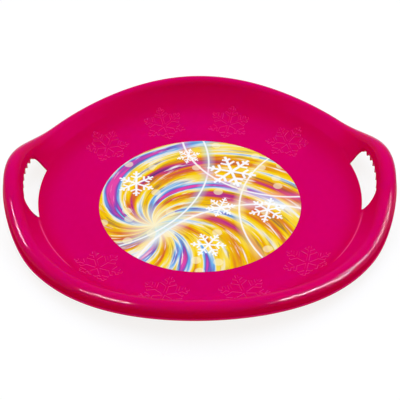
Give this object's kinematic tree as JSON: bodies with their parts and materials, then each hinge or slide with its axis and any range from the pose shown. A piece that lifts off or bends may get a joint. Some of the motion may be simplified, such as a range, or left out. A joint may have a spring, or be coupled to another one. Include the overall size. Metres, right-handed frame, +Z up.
{
  "type": "saucer sled",
  "caption": "Shallow plastic snow saucer with a waved rolled rim, cut-out hand grips with finger grooves, raised snow crystals and a printed disc set into its floor, for sliding down snow.",
  "frame": {"origin": "on the ground under the middle of the floor", "axes": "+X across the two grips, +Y to the back of the dish, +Z up out of the dish"},
  "size_m": [0.6, 0.572, 0.085],
  "materials": {
    "magenta_plastic": "glossy moulded polyethylene",
    "printed_film": null
  },
  "bodies": {
    "root": {"sled_shell": "magenta_plastic", "printed_label": "printed_film"}
  },
  "joints": []
}
